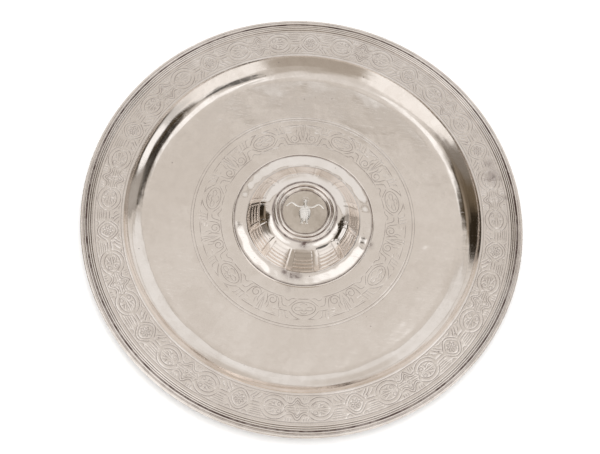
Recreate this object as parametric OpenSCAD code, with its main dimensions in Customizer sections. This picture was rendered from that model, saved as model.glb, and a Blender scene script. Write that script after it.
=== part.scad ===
// Raised silver alms dish: wide engraved border, shallow well and a chased central
// boss that carries a bezelled print with a bird. Millimetres, +Z up. The origin is
// at the centre of the flat underside that the dish rests on.

/* [Dish] */
// Outer diameter over the edge wire
dish_d = 457; // [450:1:470]
// Thickness of the raised sheet
sheet_t = 1.3; // [1:0.1:1.6]
// Radius where the well's floor starts to curve up
well_r = 161; // [158:1:165]
// Angle that the round cove turns through from the floor to the border
cove_turn = 60; // [50:1:64]
// Radius of the crisp edge between the curved side and the border
border_r = 185; // [182:1:188]
// How much the border climbs towards its outer edge
border_rise = 0.8; // [0.4:0.1:1.4]

/* [Rim] */
// Inner radius of the reeded moulding soldered on the border
moulding_r = 216; // [212:0.5:216]
// Pitch of the moulding's three narrow reeds
reed_pitch = 2; // [1.6:0.1:2]
// Radius of the bold outer reed
bold_reed_r = 1.1; // [0.9:0.1:1.3]
// Width and height of the wire that closes the edge
edge_w = 3; // [2.4:0.1:3.4]

/* [Boss] */
// Radius of the boss where it meets the floor
boss_r = 72.5; // [70:0.5:76]
// Height of the boss above the well's floor, without the bezel
boss_h = 22.4; // [20:0.2:25]
// Thickness of the boss sheet
boss_t = 1; // [0.8:0.1:1.2]
// Number of plain straps up the boss wall
strap_n = 12; // [8:1:16]
// Angle that one strap covers
strap_deg = 6.4; // [5:0.2:9]
// How far the straps stand out of the wall
strap_h = 0.6; // [0.4:0.1:0.9]
// Turn of the first strap from +X, in degrees
strap_turn = 24.2; // [0:0.1:30]
// Diameter of the wire that hides the boss seam
seam_d = 1.8; // [1.4:0.1:2.2]

/* [Print] */
// Diameter of the print, the round plate let into the boss
print_d = 49.5; // [44:0.5:50]
// Thickness of the print
print_t = 1; // [0.8:0.1:1.2]
// Radial width of the bezel ring round the print
bezel_w = 8.6; // [8:0.1:10]
// Height of the bird above the print
bird_h = 1; // [0.6:0.1:1.4]
// Turn of the bird's upright axis from +Y, in degrees
bird_turn = 7; // [-15:1:15]

/* [Fixing] */
// Diameter of the threaded stud under the print
stud_d = 5; // [4:0.5:6]
// Diameter of the washer inside the boss
washer_d = 26; // [20:1:32]
// Size of the nut across its flats
nut_af = 9; // [9:0.5:11]
// Thickness of the nut
nut_h = 4; // [3:0.5:5]

/* [Hidden] */
$fn = 96;

floor_z = sheet_t;
cove_r = (border_r - well_r) / sin(cove_turn);
well_depth = cove_r * (1 - cos(cove_turn));
border_z = floor_z + well_depth;
edge_r = dish_d / 2 - edge_w;
edge_z = border_z + border_rise;
edge_round = 0.8;                          // corner radius on the outside of the edge wire
border_slope = border_rise / (edge_r - border_r);
moulding_w = edge_r - 0.5 - moulding_r;    // the border shows again outside the moulding
strip_t = 0.3;                             // thin strip that joins the reeds

lap = 11;                                  // how far the boss flange laps on the floor
hole_r = boss_r - lap;
foot_r = boss_r - 14;                      // the gently rising foot ends and the wall begins
dome_r = boss_r - 33;                      // the round shoulder ends and the dome begins
dome_z = boss_h - 0.9;
wall_turn = 52;                            // slope of the straight wall
dome_turn = 14;                            // slope where the shoulder meets the dome
shoulder_r = 15.6;
shoulder_x = dome_r - shoulder_r * sin(dome_turn);
shoulder_z = dome_z - shoulder_r * cos(dome_turn);
bezel_in_r = print_d / 2 - 1.2;            // the bezel laps on the print
bezel_out_r = bezel_in_r + bezel_w;
bezel_step = 1.6;
seat_z = boss_h - 1.2;                     // flat seat sunk in the boss top, above the floor
print_z = floor_z + seat_z;
hollow_z = print_z - boss_t;

head_y = 12.3;                             // head and ring above the print's centre
wing_w = 1.6;
leg_w = 2.2;
wing_line = [[3, 5], [5.5, 5.3], [8.6, 6.2], [11.5, 8.2], [13.8, 9], [16, 8], [19.5, 4.6]];

washer_t = 1;
stud_hole_r = stud_d / 2 + 0.2;
stud_end = 1.5;                            // stud left showing past the nut
stud_l = boss_t + washer_t + nut_h + stud_end;

// smooth step from 0 to 1
function ease(t) = t * t * (3 - 2 * t);
function turned(line) = [for (i = [len(line) - 1:-1:0]) line[i]];
// the same line moved sideways by d, to its right as it runs
function beside(line, d) = [for (i = [0:len(line) - 1])
    let (run = line[min(i + 1, len(line) - 1)] - line[max(i - 1, 0)])
    line[i] + d * [run[1], -run[0]] / norm(run)];

// points round a circle of radius r at (x, z), from one angle to another
function bow(x, z, r, from, to, n = 10) =
    [for (i = [0:n]) let (a = from + (to - from) * i / n) [x + r * cos(a), z + r * sin(a)]];

// the well's side: a round cove that meets the border in a crisp edge
cove_line = bow(well_r, floor_z + cove_r, cove_r, -90, cove_turn - 90, 24);

// the boss from its foot inwards: gentle foot, straight wall, round shoulder, shallow dome
shoulder_line = bow(shoulder_x, shoulder_z, shoulder_r, 90 - wall_turn, 90 - dome_turn, 9);
foot_z = shoulder_line[0][1] - (foot_r - shoulder_line[0][0]) * tan(wall_turn);
foot_line = [for (t = [0:1 / 4:1.001]) [boss_r - (boss_r - foot_r - 1.5) * t, boss_t + ease(t)]];
wall_line = concat([[foot_r, foot_z]], shoulder_line);
boss_line = concat(foot_line, wall_line, [[bezel_out_r + 1.5, boss_h - 0.1]]);

module ring(outline) rotate_extrude($fn = 180) polygon(outline);

// raised sheet: floor, curved side and border, open in the middle under the boss
module dish_body() {
    top = concat([[hole_r, floor_z], [well_r - 4, floor_z]], cove_line, [[edge_r, edge_z]]);
    under = [for (p = beside(top, sheet_t)) if (p[0] < edge_r - 0.2) p];
    color("gainsboro") ring(concat(top, [[edge_r, edge_z - sheet_t]], turned(under)));
}

// applied moulding: three narrow reeds and a bold one on a thin strip
module rim_moulding() {
    base_z = border_z + border_slope * (moulding_r - border_r);
    reed_r = reed_pitch / 2 - 0.05;
    reeds = [for (i = [0:2]) each bow(reed_pitch * (i + 0.5), strip_t / 2, reed_r, 170, 10)];
    bold = bow(moulding_w - bold_reed_r - 0.02, strip_t / 2, bold_reed_r, 172, 8);
    color("silver") rotate_extrude($fn = 180) translate([moulding_r, base_z])
        rotate(atan(border_slope)) polygon(concat([[0, 0]], reeds, bold, [[moulding_w, 0]]));
}

// wire soldered along the edge of the border, rounded on the outside
module edge_wire() {
    flat = edge_w - edge_round;
    outline = concat([[0, edge_w]], bow(flat, flat, edge_round, 90, 0, 5),
        bow(flat, edge_round, edge_round, 0, -90, 5), [[0, 0]]);
    color("darkgray") translate([0, 0, edge_z - edge_w]) ring([for (p = outline) p + [edge_r, 0]]);
}

// hollow boss: a flange that laps on the floor, the foot, wall and dome, and the seat
module boss_shell() {
    inside = [for (p = beside(boss_line, -boss_t)) if (p[1] > 0.4 && p[0] > bezel_out_r + 0.3) p];
    wall_in = beside(wall_line, -boss_t / 2);
    wall_out = beside(wall_line, strap_h);
    color("gainsboro") translate([0, 0, floor_z]) union() {
        ring(concat([[boss_r, 0], [boss_r, boss_t]], boss_line,
            [[bezel_out_r, boss_h], [bezel_out_r, seat_z], [stud_hole_r, seat_z],
             [stud_hole_r, seat_z - boss_t], [bezel_out_r, seat_z - boss_t]],
            turned(inside), [[hole_r - 1, 0]]));
        for (k = [0:strap_n - 1]) rotate([0, 0, strap_turn + 360 * k / strap_n - strap_deg / 2])
            rotate_extrude(angle = strap_deg, $fn = 180) polygon(concat(wall_in, turned(wall_out)));
    }
}

// half-round wire over the seam between boss and floor
module seam_wire() {
    outline = bow(seam_d / 2, 0.3, seam_d / 2, 180, -19, 12);
    color("silver") translate([0, 0, floor_z])
        ring([for (p = concat([[0, 0]], outline)) p + [boss_r, 0]]);
}

// ring with two rounded steps that holds the print down on its seat
module bezel_ring() {
    lip = print_d / 2 - bezel_in_r;
    outline = concat([[lip, 0], [lip, print_t], [0, print_t], [0, bezel_step]],
        bow(bezel_w * 0.28, bezel_step, bezel_w * 0.16, 175, 5),
        bow(bezel_w * 0.76, bezel_step, bezel_w * 0.2, 175, 5),
        [[bezel_w, bezel_step], [bezel_w, 0]]);
    color("silver") translate([0, 0, print_z]) ring([for (p = outline) p + [bezel_in_r, 0]]);
}

// round plate that carries the bird
module print_disc() color("gainsboro")
    translate([0, 0, print_z]) cylinder(d = print_d, h = print_t);

// bird with spread wings and a plain ring behind its head, cast in one piece
module bird_relief() {
    span = concat(turned([for (p = wing_line) [-p[0], p[1]]]), wing_line);
    color("silver") translate([0, 0, print_z + print_t]) rotate([0, 0, bird_turn]) linear_extrude(bird_h) {
        polygon([for (a = [0:15:345]) [5.3 * cos(a), 8.5 * sin(a) - 1.3]]);
        polygon([[-3, 4], [3, 4], [1.5, 11], [-1.5, 11]]);
        translate([0, head_y]) circle(2.7);
        translate([0, head_y]) difference() {
            circle(3.9);
            circle(3.2);
        }
        polygon(concat(beside(span, wing_w / 2), turned(beside(span, -wing_w / 2))));
        for (side = [-1, 1]) translate([side * 2.5 - leg_w / 2, -13.2]) square([leg_w, 7]);
    }
}

// threaded stud soldered under the print
module print_stud() color("dimgray")
    translate([0, 0, print_z - stud_l]) cylinder(d = stud_d, h = stud_l);

// washer that spreads the nut's pull inside the boss
module backing_washer() color("darkgray")
    translate([0, 0, hollow_z - washer_t]) difference() {
        cylinder(d = washer_d, h = washer_t);
        translate([0, 0, -1]) cylinder(r = stud_hole_r, h = washer_t + 2);
    }

// hexagon nut on the stud
module retaining_nut() color("goldenrod")
    translate([0, 0, hollow_z - washer_t - nut_h]) difference() {
        cylinder(d = nut_af / cos(30), h = nut_h, $fn = 6);
        translate([0, 0, -1]) cylinder(d = stud_d, h = nut_h + 2);
    }

dish_body();
rim_moulding();
edge_wire();
boss_shell();
seam_wire();
bezel_ring();
print_disc();
bird_relief();
print_stud();
backing_washer();
retaining_nut();
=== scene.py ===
import math

import bpy
import numpy as np
from mathutils import Matrix, Vector
from mathutils.geometry import delaunay_2d_cdt


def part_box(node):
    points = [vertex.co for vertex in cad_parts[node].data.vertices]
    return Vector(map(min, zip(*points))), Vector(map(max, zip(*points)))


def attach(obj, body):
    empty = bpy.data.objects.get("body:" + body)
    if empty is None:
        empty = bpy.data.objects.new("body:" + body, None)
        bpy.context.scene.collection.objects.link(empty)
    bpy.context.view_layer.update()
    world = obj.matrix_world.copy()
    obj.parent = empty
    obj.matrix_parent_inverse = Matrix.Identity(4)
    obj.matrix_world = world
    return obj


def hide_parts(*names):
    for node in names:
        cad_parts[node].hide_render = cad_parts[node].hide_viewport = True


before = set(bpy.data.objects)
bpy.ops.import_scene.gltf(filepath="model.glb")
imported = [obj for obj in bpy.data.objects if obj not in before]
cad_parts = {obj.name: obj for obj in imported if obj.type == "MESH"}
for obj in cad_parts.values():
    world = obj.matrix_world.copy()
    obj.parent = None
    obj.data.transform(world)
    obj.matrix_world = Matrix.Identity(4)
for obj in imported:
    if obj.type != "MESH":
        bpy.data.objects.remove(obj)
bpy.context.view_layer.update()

mm = 0.001
full = 2 * math.pi

# corners of boxes in the frame, in metres
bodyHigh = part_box("dish_body")[1]
discLow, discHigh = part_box("print_disc")
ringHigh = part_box("bezel_ring")[1]

dish = {
    "sheet": 1.3,                # thickness of the raised sheet
    "holeR": 61.5,               # opening under the boss
    "ledgeR": 68.0,              # plain ledge round the opening
    "wellR": 161.0,              # the floor ends and the cove begins
    "borderR": 185.0,            # crisp edge between cove and border
    "edgeR": bodyHigh[0] / mm,   # the sheet ends at the edge wire
    "edgeZ": bodyHigh[2] / mm,
    "coveTurn": 60.0,            # degrees that the cove turns through
}
dish["coveR"] = (dish["borderR"] - dish["wellR"]) / math.sin(math.radians(dish["coveTurn"]))
dish["borderZ"] = dish["sheet"] + dish["coveR"] * (1 - math.cos(math.radians(dish["coveTurn"])))

# angles in degrees, distance in metres, lens and sensor in mm, shift in widths of the picture
camera = {"elevation": 69.73, "roll": 11.04, "distance": 1.1, "lens": 63.13, "sensor": 36,
          "shift": (-0.0057, -0.0128)}


def placeCamera(c, target):
    # looks at target from the front, turned about its own axis by roll
    e, r = math.radians(c["elevation"]), math.radians(c["roll"])
    back = Vector((0, -math.cos(e), math.sin(e)))
    right0, up0 = Vector((1, 0, 0)), Vector((0, math.sin(e), math.cos(e)))
    right = right0 * math.cos(r) + up0 * math.sin(r)
    up = up0 * math.cos(r) - right0 * math.sin(r)
    data = bpy.data.cameras.new("camera")
    data.lens, data.sensor_width = c["lens"], c["sensor"]
    data.shift_x, data.shift_y = c["shift"]
    obj = bpy.data.objects.new("camera", data)
    bpy.context.scene.collection.objects.link(obj)
    turn = Matrix((right, up, back)).transposed().to_4x4()
    obj.matrix_world = Matrix.Translation(target + back * c["distance"]) @ turn
    bpy.context.scene.camera = obj


placeCamera(camera, Vector((0, 0, dish["sheet"] * mm)))
print("camera placed")


def smooth(t):
    # 3t^2 - 2t^3 between 0 and 1
    t = np.clip(t, 0, 1)
    return t * t * (3 - 2 * t)


def makeMesh(name, verts, faces, sharp=30, marks=None):
    # verts in millimetres; marks are point attributes that the finish reads
    mesh = bpy.data.meshes.new(name)
    mesh.from_pydata((np.asarray(verts) * mm).tolist(), [], [tuple(f) for f in faces])
    mesh.validate()
    mesh.polygons.foreach_set("use_smooth", np.ones(len(mesh.polygons), dtype=bool))
    mesh.set_sharp_from_angle(angle=math.radians(sharp))
    for key, value in (marks or {}).items():
        layer = mesh.attributes.new(key, "FLOAT", "POINT")
        layer.data.foreach_set("value", np.asarray(value, dtype=np.float32))
    mesh.update()
    obj = bpy.data.objects.new(name, mesh)
    bpy.context.scene.collection.objects.link(obj)
    print(name, len(mesh.polygons), "faces")
    return obj


def ringFaces(rows, turns, closed=True, base=0):
    # quads between neighbouring rows of a grid that runs right round the axis;
    # closed joins the last row back to the first
    i = np.arange(rows if closed else rows - 1)
    j = np.arange(turns)
    a, b = np.meshgrid(i, j, indexing="ij")
    a2, b2 = (a + 1) % rows, (b + 1) % turns
    quad = np.stack([a * turns + b, a2 * turns + b, a2 * turns + b2, a * turns + b2], -1)
    return base + quad.reshape(-1, 4)


def turned(profile, turns, phase=0.0):
    # x = r cos a, y = r sin a for every point (r, z) of the profile and every turn a
    r, z = np.asarray(profile, dtype=float).T
    a = phase + np.arange(turns) * full / turns
    return np.stack([np.outer(r, np.cos(a)), np.outer(r, np.sin(a)),
                     np.repeat(z[:, None], turns, 1)], -1)


def bow(x, z, r, start, end, n):
    # points round a circle of radius r at (x, z), angles in degrees
    a = np.radians(np.linspace(start, end, n + 1))
    return np.stack([x + r * np.cos(a), z + r * np.sin(a)], -1)


def waves(x, y, length, count, seed):
    # sum of sine waves that run in random directions, scaled to about -1..1
    dice = np.random.RandomState(seed)
    total = np.zeros_like(x)
    for k in range(count):
        way = dice.uniform(0, full)
        pace = full / (length * dice.uniform(0.7, 1.6))
        total += np.sin((x * math.cos(way) + y * math.sin(way)) * pace + dice.uniform(0, full))
    return total / math.sqrt(count)


planish = {"long": 46.0, "longDepth": 0.075, "short": 11.0, "shortDepth": 0.013,
           "streak": 0.045, "streakStart": 158, "streakEnd": 187, "streaks": 10}


def hammered(x, y):
    # slow and quick undulation that planishing leaves in a raised sheet: two sums of sine waves
    p = planish
    return (p["longDepth"] * waves(x, y, p["long"], 9, 3)
            + p["shortDepth"] * waves(x, y, p["short"], 16, 8))


def streaked(x, y, r):
    # low ridges that run round the cove, left by raising the side: sines of radius that drift
    # with the angle
    p = planish
    a, total = np.arctan2(y, x), np.zeros_like(x)
    dice = np.random.RandomState(12)
    for k in range(p["streaks"]):
        pace = full / dice.uniform(3.0, 9.0)
        total += np.sin(r * pace + dice.randint(2, 15) * a + 2 * np.sin(dice.randint(3, 9) * a + k))
    inCove = smooth((r - p["streakStart"]) / 8)
    return p["streak"] * total / 3 * inCove * smooth((p["streakEnd"] - r) / 6)


# x, y, size and depth of each dent
dents = [(104.0, 41.0, 5.0, 0.25), (133.0, -7.0, 4.0, 0.2), (-108.0, 96.0, 1.3, 0.25),
         (-128.0, -78.0, 1.4, 0.22), (-83.0, 118.0, 2.2, 0.1), (40.0, -136.0, 2.6, 0.08)]


def dented(x, y):
    # each dent is -depth exp(-(d / size)^2)
    total = np.zeros_like(x)
    for cx, cy, size, depth in dents:
        total -= depth * np.exp(-((x - cx) ** 2 + (y - cy) ** 2) / size ** 2)
    return total


def arc(cx, cy, a, b, start, end, step=1.0):
    # part of an ellipse with half axes a and b, angles in degrees
    n = max(4, int(abs(math.radians(end - start)) * max(a, b) / step))
    t = np.radians(np.linspace(start, end, n + 1))
    return np.stack([cx + a * np.cos(t), cy + b * np.sin(t)], -1)


def through(*points, step=1.1):
    # smooth curve through the points: Catmull-Rom, p(t) cubic between neighbours
    p = np.array(points, dtype=float)
    if len(p) == 2:
        n = max(1, int(np.hypot(*(p[1] - p[0])) / (2 * step)))
        return p[0] + (p[1] - p[0]) * np.linspace(0, 1, n + 1)[:, None]
    q = np.vstack([2 * p[0] - p[1], p, 2 * p[-1] - p[-2]])
    parts = []
    for k in range(len(p) - 1):
        a, b, c, d = q[k:k + 4]
        n = max(2, int(np.hypot(*(c - b)) / step))
        t = np.linspace(0, 1, n, endpoint=False)[:, None]
        parts.append(0.5 * (2 * b + (c - a) * t + (2 * a - 5 * b + 4 * c - d) * t ** 2
                            + (3 * b - a - 3 * c + d) * t ** 3))
    return np.vstack(parts + [p[-1:]])


def curl(cx, cy, outer, inner, start, sweep, step=0.9):
    # spiral whose radius falls evenly from outer to inner
    n = max(6, int(math.radians(abs(sweep)) * (outer + inner) / 2 / step))
    t = np.linspace(0, 1, n + 1)
    a, r = np.radians(start + sweep * t), outer + (inner - outer) * t
    return np.stack([cx + r * np.cos(a), cy + r * np.sin(a)], -1)


def flip(line):
    # mirror image across the middle of the band
    return line * np.array([1, -1])


cutting = {"tip": 0.15, "taper": 5, "onEdge": 0.05, "clear": 3.0}


def engrave(strokes, low, high, half, edgeCount, spacing, cut):
    # one half cell of an engraved band as a flat triangle mesh with V cuts:
    # depth = cut * max over strokes of taper * (1 - distance / (taper * half width))
    points, edges = [], []

    def addLine(line, loop=False):
        base = len(points)
        points.extend(map(tuple, line))
        edges.extend((base + i, base + i + 1) for i in range(len(line) - 1))
        if loop:
            edges.append((base + len(line) - 1, base))

    def tipShare(s):
        # strokes narrow at their ends, but not where they run on in the mirror image
        return 1.0 if min(s, half - s) < cutting["onEdge"] else cutting["tip"]

    s = np.linspace(0, half, edgeCount + 1)
    u = np.linspace(low, high, max(2, int((high - low) / spacing)) + 1)[1:-1]
    border = np.vstack([np.stack([s, 0 * s + low], -1), np.stack([0 * u + half, u], -1),
                        np.stack([s[::-1], 0 * s + high], -1), np.stack([0 * u, u[::-1]], -1)])
    addLine(border, loop=True)
    starts, ends, tapers, widths = [], [], [], []
    for line, width in strokes:
        run = np.gradient(line, axis=0)
        side = np.stack([-run[:, 1], run[:, 0]], -1) / (np.hypot(*run.T)[:, None] + 1e-9)
        t = np.linspace(0, 1, len(line))
        taper = np.minimum(1, np.minimum(tipShare(line[0, 0]) + cutting["taper"] * t,
                                         tipShare(line[-1, 0]) + cutting["taper"] * (1 - t)))
        addLine(line)
        addLine(line + side * taper[:, None] * width / 2)
        addLine(line - side * taper[:, None] * width / 2)
        starts.append(line[:-1])
        ends.append(line[1:])
        tapers.append(np.stack([taper[:-1], taper[1:]], -1))
        widths.append(np.full(len(line) - 1, width / 2))
    starts, ends, tapers, widths = (np.concatenate(a) for a in (starts, ends, tapers, widths))

    def nearest(p):
        # share of the half width to the nearest stroke, and depth of the cut there, 0..1
        d = ends - starts
        share, deep = np.full(len(p), 9.0), np.zeros(len(p))
        for k in range(0, len(p), 2000):
            rel = p[k:k + 2000, None, :] - starts[None]
            t = np.clip((rel * d).sum(-1) / ((d * d).sum(-1) + 1e-12), 0, 1)
            gap = np.hypot(*np.moveaxis(rel - t[..., None] * d, -1, 0)) / widths
            narrow = tapers[:, 0] + (tapers[:, 1] - tapers[:, 0]) * t
            share[k:k + 2000] = gap.min(1)
            deep[k:k + 2000] = (np.clip(1 - gap / narrow, 0, 1) * narrow).max(1)
        return share, deep

    gs, gu = np.meshgrid(np.arange(spacing, half - 0.3 * spacing, spacing),
                         np.arange(low + spacing, high - 0.3 * spacing, spacing * 0.87))
    gs = gs + (np.arange(gs.shape[0])[:, None] % 2) * spacing / 2
    free = np.stack([gs.ravel(), gu.ravel()], -1)
    free = free[(nearest(free)[0] > cutting["clear"]) & (free[:, 0] < half - 0.4 * spacing)]
    points.extend(map(tuple, free))
    flat, _, tris, *_ = delaunay_2d_cdt([Vector(p) for p in points], edges, [], 0, 1e-5)
    flat, tris = np.array(flat), np.array(tris)
    middle = flat[tris].mean(1)
    a, b, c = (flat[tris[:, k]] for k in range(3))
    area = (b - a)[:, 0] * (c - a)[:, 1] - (b - a)[:, 1] * (c - a)[:, 0]
    keep = (middle[:, 0] > 0) & (middle[:, 0] < half) & (middle[:, 1] > low) & (middle[:, 1] < high)
    keep &= np.abs(area) > 1e-7
    tris = np.where(area[:, None] < 0, tris[:, ::-1], tris)[keep]
    used, tris = np.unique(tris, return_inverse=True)
    flat, tris = flat[used], tris.reshape(-1, 3)
    mark = nearest(flat)[1]
    return flat, tris, mark, -cut * mark


def ringOfCells(cell, centreR, half, count, phase):
    # each half cell and its mirror image, count times round: angle = phase + s / centreR;
    # points closer than weld become one
    weld = 0.002
    flat, tris, mark, depth = cell
    turn = full / count
    angles, radii, faces = [], [], []
    for k in range(count):
        for side in (1, -1):
            base = len(angles) * len(flat)
            angles.append(phase + k * turn + side * flat[:, 0] * (turn / 2 / half))
            radii.append(centreR + flat[:, 1])
            faces.append(base + (tris if side == 1 else tris[:, ::-1]))
    a, r = np.concatenate(angles), np.concatenate(radii)
    x, y = r * np.cos(a), r * np.sin(a)
    marks, depths = np.tile(mark, 2 * count), np.tile(depth, 2 * count)
    key = np.round(np.stack([x, y], -1) / weld).astype(np.int64)
    _, first, where = np.unique(key, axis=0, return_index=True, return_inverse=True)
    faces = where.reshape(-1)[np.concatenate(faces)]
    faces = faces[(faces[:, 0] != faces[:, 1]) & (faces[:, 1] != faces[:, 2])
                  & (faces[:, 2] != faces[:, 0])]
    # s runs anticlockwise and u outwards, so the cell lies face down until it is turned over
    return x[first], y[first], depths[first], marks[first], faces[:, ::-1]


# engraved bands: line and fine are widths of strokes, cut is their depth, spacing is the mesh's,
# half is half of a repeat along the circle centreR
rim = {"repeats": 11, "phase": math.radians(0.2), "centreR": 200.8, "edges": 26,
       "line": 0.78, "fine": 0.56, "cut": 0.042, "spacing": 2.6}
rim["half"] = full * rim["centreR"] / rim["repeats"] / 2


def rimStrokes(r):
    # strapwork of the border: s runs from a medallion (0) to a quatrefoil (half), u outwards
    end, w, f = r["half"], r["line"], r["fine"]
    lines = []

    def both(line, width):
        lines.extend([(line, width), (flip(line), width)])

    ringS = end - 22.6                                   # centre of the roundel
    lines.append((through((0, 13.0), (end, 13.0)), w))   # border lines of the band
    lines.append((through((0, -13.4), (end, -13.4)), f))
    # medallion: two outlines with eight soft corners, and a rosette
    both(through((0, 10.4), (3.4, 9.6), (7.4, 6.0), (10.8, 1.6)), w)
    both(through((0, 8.0), (2.6, 7.2), (5.6, 4.4), (7.6, 0.9), (7.9, 0)), f)
    for a in (20, 65):
        tip = np.array([math.cos(math.radians(a)), math.sin(math.radians(a))])
        off = np.array([-tip[1], tip[0]])
        both(through(tip * 1.3, tip * 3.2 + off * 1.1, tip * 5.4, tip * 3.2 - off * 1.1, tip * 1.3), f)
    both(arc(0, 0, 1.3, 1.3, 0, 90, 0.6), f)
    # bars from the medallion to the roundel strap
    both(through((10.8, 1.6), (ringS - 13.0, 1.6)), w)
    # strap round the roundel, drawn as two outlines that open towards the quatrefoil
    both(arc(ringS, 0, 13.2, 11.6, 172, 20), w)
    both(arc(ringS, 0, 9.8, 7.7, 180, 0), w)
    both(through((ringS + 12.4, 4.0), (ringS + 11.0, 1.8), (ringS + 9.8, 0)), f)
    # anthemion in the roundel: two curls on the inner side, leaves on the outer
    both(curl(ringS + 4.6, 3.4, 3.0, 0.6, 250, 500), f)
    both(through((ringS - 7.6, 0.9), (ringS - 3, 1.2), (ringS + 1.4, 1.0), (ringS + 3.4, 0.5)), f)
    both(through((ringS - 1.6, 1.4), (ringS - 3.8, 2.6), (ringS - 6.4, 2.6)), f)
    both(through((ringS + 0.4, 1.8), (ringS - 1.4, 4.2), (ringS - 4.6, 5.0)), f)
    both(through((ringS + 0.6, 6.2), (ringS - 0.4, 4.6), (ringS + 0.8, 2.8)), f)
    # hatching and leaf sprigs between medallion and strap
    for k, (u, far) in enumerate(((4.2, 3.6), (6.2, 2.6), (8.2, 1.0), (10.2, -1.4))):
        lines.append((through((13.2 - 0.96 * k, u), (ringS - 12.4 + 1.1 * k + far * 0.2, u)), f))
    for width, *sprig in (
            (w, (9.0, -5.4), (13.0, -9.4), (15.4, -12.8)),
            (w, (11.6, -4.4), (15.6, -8.0), (18.6, -12.6)),
            (f, (16.8, -5.6), (19.4, -6.8), (21.4, -9.8)),
            (f, (4.0, -11.2), (7.6, -10.4), (11.0, -11.8)),
            (f, (12.0, -2.8), (14.0, -4.6), (13.2, -6.2), (11.8, -5.4)),
            (f, (22.0, -11.6), (25.4, -10.6), (27.0, -12.6)),
            (f, (4.8, 11.4), (8.0, 9.0), (11.0, 11.4)),
            (f, (26.0, 12.4), (29.0, 11.0))):
        lines.append((through(*sprig), width))
    # waved double strap over and under the quatrefoil
    for start, *bends, rise in (
            ((ringS + 11.4, 6.6), (end - 6.8, 5.0), (end - 4.4, 6.4), (end - 2.4, 9.6), 11.2),
            ((ringS + 12.4, 4.0), (end - 7.4, 2.8), (end - 3.4, 4.4), (end - 1.6, 7.2), 8.6)):
        both(through(start, *bends, (end, rise)), w)
    for k in range(3):
        s = ringS + 11.2 + 2.4 * k
        both(through((s, 12.2), (s + 0.6, 10.4), (s + 0.2, 8.2 + 0.2 * k)), f)
    # quatrefoil: long side leaves, short upright leaves and a knot
    both(through((end - 10.8, 0.9), (end - 6.4, 1.3), (end - 3.2, 1.1), (end - 1.9, 1.9)), f)
    both(through((end - 1.9, 1.9), (end - 2.0, 4.2), (end, 6.2)), f)
    lines.append((through((end - 1.2, 0), (end - 5.0, 0)), f))
    both(arc(end, 0, 1.3, 1.3, 180, 90, 0.6), f)
    return lines


inner = {"repeats": 7, "phase": math.radians(23.4), "centreR": 97.0, "edges": 40,
         "line": 0.78, "fine": 0.56, "cut": 0.03, "spacing": 2.4, "low": -22.0, "high": 26.0}
inner["half"] = full * inner["centreR"] / inner["repeats"] / 2


def innerStrokes(r):
    # strapwork round the boss: s runs from an oval (0) to the middle of a panel (half)
    end, w, f = r["half"], r["line"], r["fine"]
    return [
        # ruled circles
        (through((0, 17.6), (end, 17.6)), 0.7),
        (through((0, 20.2), (end, 20.2)), 0.5),
        # oval, its strap and the flower inside
        (arc(0, -0.6, 12.2, 7.0, 90, -90), w),
        (through((2.6, 10.6), (6.4, 9.6), (10.6, 7.0), (14.2, 3.6), (16.0, 2.6)), w),
        (through((2.8, 10.8), (11.4, 10.8)), w),
        (through((0, -10.6), (7.6, -10.6)), w),
        (through((6.6, -9.8), (10.4, -7.2), (13.6, -4.0), (16.4, -1.0)), w),
        (through((0, 1.8), (2.2, 1.2), (3.4, 0.2)), f),
        (through((0.4, -0.6), (4.4, 1.4), (8.4, 1.6), (9.4, -0.4), (6.4, -2.2), (0.4, -0.6)), f),
        (through((0, 5.0), (2.4, 4.2), (3.0, 2.6)), f),
        (through((0, -6.2), (3.0, -5.2), (4.4, -3.4)), f),
        # strap that leaves the oval, turns down and runs into the volute
        (through((16.0, 2.6), (18.8, 3.2), (25.4, 3.2)), w),
        (through((16.4, -1.0), (18.6, -1.6), (21.6, -1.8), (23.4, -4.4), (24.4, -8.0),
                 (26.6, -10.8)), w),
        (through((25.4, 3.2), (26.2, -1.0), (27.2, -5.6), (29.6, -8.6), (33.4, -9.6)), w),
        (through((8.6, -10.6), (13.4, -10.4), (16.4, -8.0), (19.6, -8.2), (21.6, -10.8)), w),
        (through((21.6, -10.8), (end, -10.8)), w),
        (curl(33.8, -4.6, 6.2, 1.0, 80, -640), w),
        (through((end - 3.4, 4.4), (end - 4.8, -0.4), (end - 3.0, -6.4), (end - 1.6, -9.4)), w),
        (through((end - 6.2, 6.8), (end - 7.4, 2.2), (end - 6.2, -1.6)), f),
        # crossing bars on the outer side
        (through((18.8, 3.2), (17.8, 6.4), (16.6, 10.6)), 0.4),
        (through((21.4, 3.4), (20.6, 7.0), (19.6, 11.8)), 0.4),
        (through((25.0, 3.4), (23.8, 7.4), (22.8, 11.6)), 0.4),
        (through((13.6, 10.6), (16.2, 10.2), (17.4, 8.6)), f),
        (through((24.8, 10.8), (end - 3.2, 10.8)), w),
        (through((25.6, 8.8), (32.0, 8.8)), f),
        (through((26.0, 6.6), (30.4, 6.6)), f),
        (through((26.2, 3.8), (31.0, 4.0)), f),
        # fan of petals in the middle of the panel
        (through((end, -5.0), (end, 3.0), (end, 10.2)), f),
        (through((end - 0.6, -4.8), (end - 1.6, 2.0), (end - 2.6, 10.4)), f),
        (through((end - 2.6, 10.4), (end - 1.4, 11.4), (end, 10.2)), f),
    ]


def buildRing(name, spec, strokes, low, high, heightOf):
    # the engraved band's top surface; heightOf(x, y, r) is the plain surface under the cuts
    cell = engrave(strokes, low, high, spec["half"], spec["edges"], spec["spacing"], spec["cut"])
    print(name, "half cell", len(cell[1]), "triangles")
    x, y, depth, mark, faces = ringOfCells(cell, spec["centreR"], spec["half"],
                                           spec["repeats"], spec["phase"])
    r = np.hypot(x, y)
    z = heightOf(x, y, r) + depth
    return np.stack([x, y, z], -1), faces, mark, r


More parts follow.
